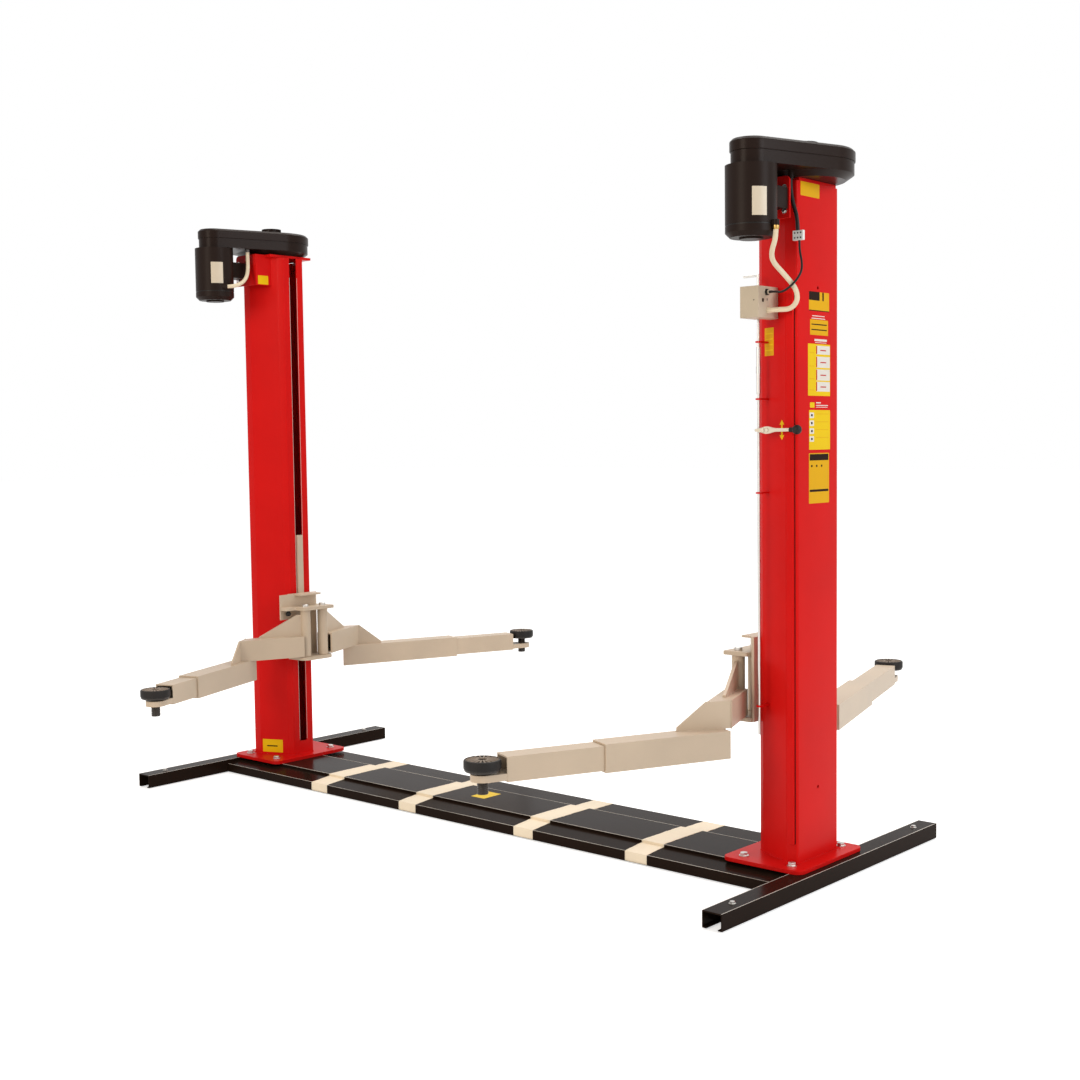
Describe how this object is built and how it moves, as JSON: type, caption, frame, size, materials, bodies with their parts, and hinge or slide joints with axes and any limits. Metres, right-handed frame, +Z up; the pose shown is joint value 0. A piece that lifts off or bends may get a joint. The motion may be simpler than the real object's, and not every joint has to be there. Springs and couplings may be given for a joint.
{
  "type": "two-post car lift",
  "caption": "Car lift with two slotted columns on a flat base, powered screws and cranked telescopic arms that raise a vehicle on round pads.",
  "frame": {"origin": "on the floor, midway between the two columns", "axes": "+Z up, +X from the left column to the right one, +Y from the lift's front towards its back"},
  "size_m": [3.4298, 2.7876, 2.69],
  "materials": {
    "column_paint": "gloss",
    "arm_paint": "satin",
    "base_paint": "gloss",
    "motor_paint": "satin",
    "cover_plastic": "satin",
    "steel": "satin",
    "pad_rubber": "matte",
    "tape": "satin",
    "box_paint": "satin",
    "terminal_plastic": "gloss",
    "cord_sleeve": "satin",
    "cable_black": "matte"
  },
  "bodies": {
    "frame": {"column_left": "column_paint", "column_flange_left": "column_paint", "foot_left": "base_paint", "lift_screw_left": "steel", "motor_bracket_left": "column_paint", "motor_left": "motor_paint", "belt_cover_left": "cover_plastic", "cover_lid_left": "cover_plastic", "column_right": "column_paint", "column_flange_right": "column_paint", "foot_right": "base_paint", "lift_screw_right": "steel", "motor_bracket_right": "column_paint", "motor_right": "motor_paint", "belt_cover_right": "cover_plastic", "cover_lid_right": "cover_plastic", "levelling_feet": "steel", "base_front_beam": "base_paint", "base_cover": "base_paint", "base_back_beam": "base_paint", "tape_bands": "tape", "control_box": "box_paint", "rod_clips": "column_paint", "lever_pin": "steel", "cable_strip": "column_paint", "terminal_block": "terminal_plastic", "motor_cord_right": "cord_sleeve", "motor_cord_left": "cord_sleeve", "head_cord": "cable_black", "control_cord": "cable_black"},
    "carriage_left": {"carriage_left": "arm_paint", "hinge_pins_left": "steel"},
    "carriage_right": {"carriage_right": "arm_paint", "hinge_pins_right": "steel"},
    "arm_front_right": {"arm_front_right": "arm_paint"},
    "slide_front_right": {"arm_slide_front_right": "arm_paint"},
    "pad_front_right": {"pad_front_right": "pad_rubber"},
    "arm_front_left": {"arm_front_left": "arm_paint"},
    "slide_front_left": {"arm_slide_front_left": "arm_paint"},
    "pad_front_left": {"pad_front_left": "pad_rubber"},
    "arm_rear_left": {"arm_rear_left": "arm_paint"},
    "slide_rear_left": {"arm_slide_rear_left": "arm_paint"},
    "pad_rear_left": {"pad_rear_left": "pad_rubber"},
    "arm_rear_right": {"arm_rear_right": "arm_paint"},
    "slide_rear_right": {"arm_slide_rear_right": "arm_paint"},
    "pad_rear_right": {"pad_rear_right": "pad_rubber"},
    "lever": {"control_lever": "steel"},
    "rod": {"switch_rod": "steel"}
  },
  "joints": [
    {"name": "lift_right", "type": "slide", "parent": "frame", "child": "carriage_right", "axis": [0, 0, 1], "range_m": [-0.355, 1.32]},
    {"name": "lift_left", "type": "slide", "parent": "frame", "child": "carriage_left", "axis": [0, 0, 1], "range_m": [-0.355, 1.32]},
    {"name": "swing_front_right", "type": "hinge", "parent": "carriage_right", "child": "arm_front_right", "pos_m": [1.275, -0.054, 0.7], "axis": [0, 0, 1], "range_deg": [-51, 5]},
    {"name": "extend_front_right", "type": "slide", "parent": "arm_front_right", "child": "slide_front_right", "axis": [-0.4003, -0.9164, 0], "range_m": [-0.318, 0.034]},
    {"name": "screw_front_right", "type": "slide", "parent": "slide_front_right", "child": "pad_front_right", "axis": [0, 0, 1], "range_m": [0, 0.04]},
    {"name": "swing_front_left", "type": "hinge", "parent": "carriage_left", "child": "arm_front_left", "pos_m": [-1.275, -0.054, 0.7], "axis": [0, 0, 1], "range_deg": [-5, 51]},
    {"name": "extend_front_left", "type": "slide", "parent": "arm_front_left", "child": "slide_front_left", "axis": [0.4003, -0.9164, 0], "range_m": [-0.153, 0.199]},
    {"name": "screw_front_left", "type": "slide", "parent": "slide_front_left", "child": "pad_front_left", "axis": [0, 0, 1], "range_m": [0, 0.04]},
    {"name": "swing_rear_left", "type": "hinge", "parent": "carriage_left", "child": "arm_rear_left", "pos_m": [-1.275, 0.054, 0.7], "axis": [0, 0, 1], "range_deg": [-41, 5]},
    {"name": "extend_rear_left", "type": "slide", "parent": "arm_rear_left", "child": "slide_rear_left", "axis": [0.3535, 0.9354, 0], "range_m": [-0.273, 0.179]},
    {"name": "screw_rear_left", "type": "slide", "parent": "slide_rear_left", "child": "pad_rear_left", "axis": [0, 0, 1], "range_m": [-0.02, 0.02]},
    {"name": "swing_rear_right", "type": "hinge", "parent": "carriage_right", "child": "arm_rear_right", "pos_m": [1.275, 0.054, 0.7], "axis": [0, 0, 1], "range_deg": [-5, 45]},
    {"name": "extend_rear_right", "type": "slide", "parent": "arm_rear_right", "child": "slide_rear_right", "axis": [-0.294, 0.9558, 0], "range_m": [-0.448, 0.004]},
    {"name": "screw_rear_right", "type": "slide", "parent": "slide_rear_right", "child": "pad_rear_right", "axis": [0, 0, 1], "range_m": [-0.02, 0.02]},
    {"name": "lever_turn", "type": "hinge", "parent": "frame", "child": "lever", "pos_m": [1.458, -0.158, 1.656], "axis": [0, 1, 0], "range_deg": [-15, 15]},
    {"name": "rod_travel", "type": "slide", "parent": "frame", "child": "rod", "axis": [0, 0, 1], "range_m": [-0.0085, 0.0085]}
  ],
  "couplings": [
    {"joint": "lift_left", "follows": "lift_right", "ratio": 1},
    {"joint": "rod_travel", "follows": "lever_turn", "m_per_rad": 0.028}
  ]
}
